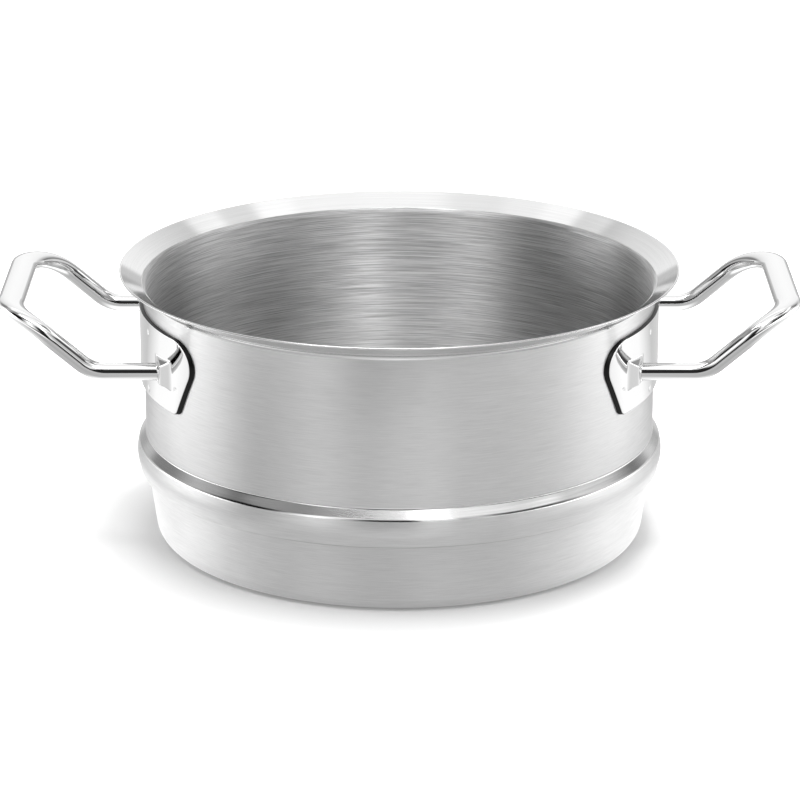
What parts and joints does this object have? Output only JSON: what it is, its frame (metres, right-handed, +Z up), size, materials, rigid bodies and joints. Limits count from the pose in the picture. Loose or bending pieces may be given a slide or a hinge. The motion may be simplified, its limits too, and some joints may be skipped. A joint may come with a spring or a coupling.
{
  "type": "steamer insert",
  "caption": "Round drawn-steel steamer insert with stepped body, flared lip, perforated base and welded, looped bar handles.",
  "frame": {"origin": "centre of the flat base, on the surface it rests on", "axes": "+Z up along the vessel's axis, X through the two handles, -Y towards the viewer"},
  "size_m": [0.3732, 0.264, 0.1302],
  "materials": {
    "satin_steel": "fine satin lines round the body, polished lip",
    "polished_steel": "mirror polish"
  },
  "bodies": {
    "root": {"vessel": "satin_steel", "handle_plate_left": "polished_steel", "handle_plate_right": "polished_steel", "handle_bar_left": "polished_steel", "handle_bar_right": "polished_steel", "bar_weld_left_front": "polished_steel", "bar_weld_left_rear": "polished_steel", "bar_weld_right_front": "polished_steel", "bar_weld_right_rear": "polished_steel"}
  },
  "joints": []
}
